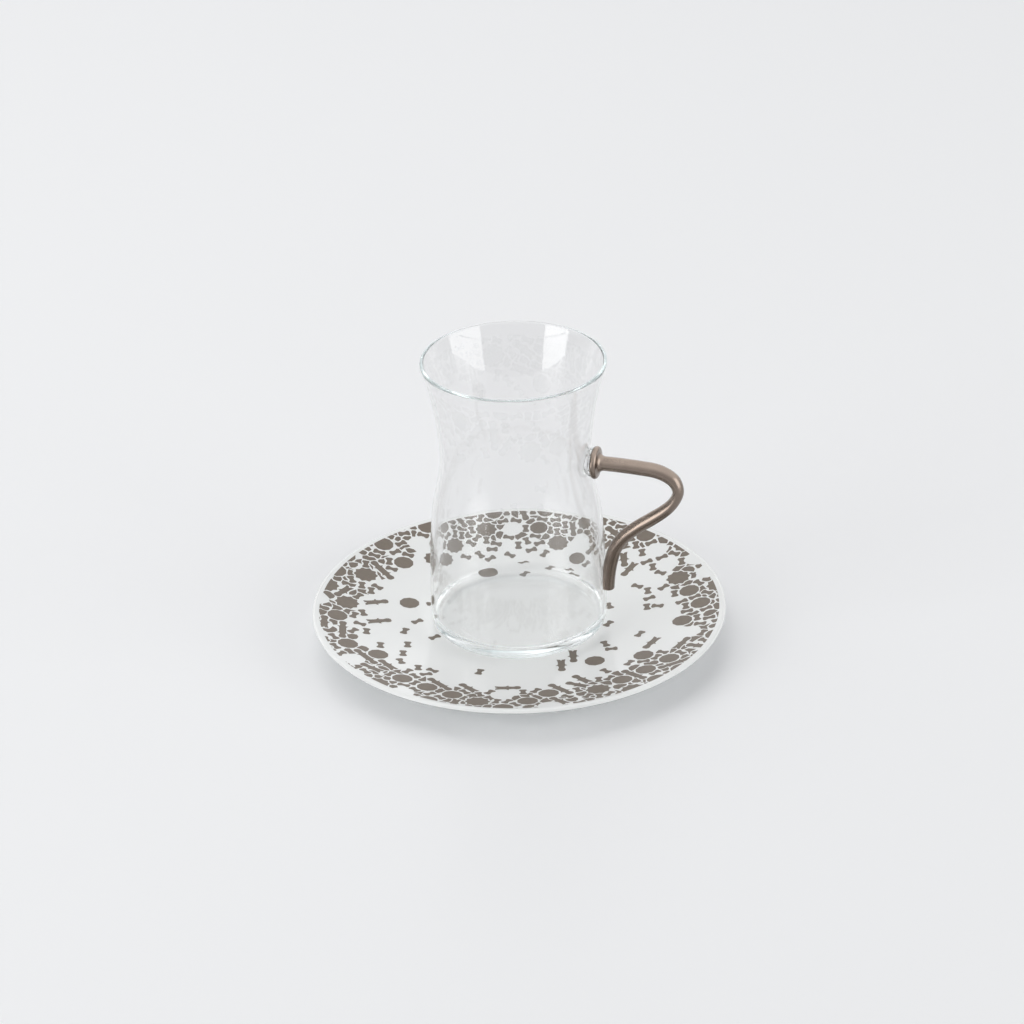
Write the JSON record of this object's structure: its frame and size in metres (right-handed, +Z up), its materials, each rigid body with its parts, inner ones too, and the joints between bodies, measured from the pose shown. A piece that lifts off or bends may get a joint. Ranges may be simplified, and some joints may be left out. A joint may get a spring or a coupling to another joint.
{
  "type": "tea glass with saucer",
  "caption": "Waisted tea glass with a flared rim and a metal-coated loop handle, standing on a shallow printed saucer.",
  "frame": {"origin": "on the floor, in the middle of the saucer's foot ring", "axes": "+Z up along the axis of the glass and saucer, +X towards the handle"},
  "size_m": [0.13, 0.13, 0.0955],
  "materials": {
    "porcelain": "white glaze with a taupe geometric print",
    "clear_glass": "clear, fire-polished rim",
    "bronze_coating": "satin metallic taupe bronze"
  },
  "bodies": {
    "root": {"saucer": "porcelain", "tea_glass": "clear_glass", "handle": "bronze_coating"}
  },
  "joints": []
}
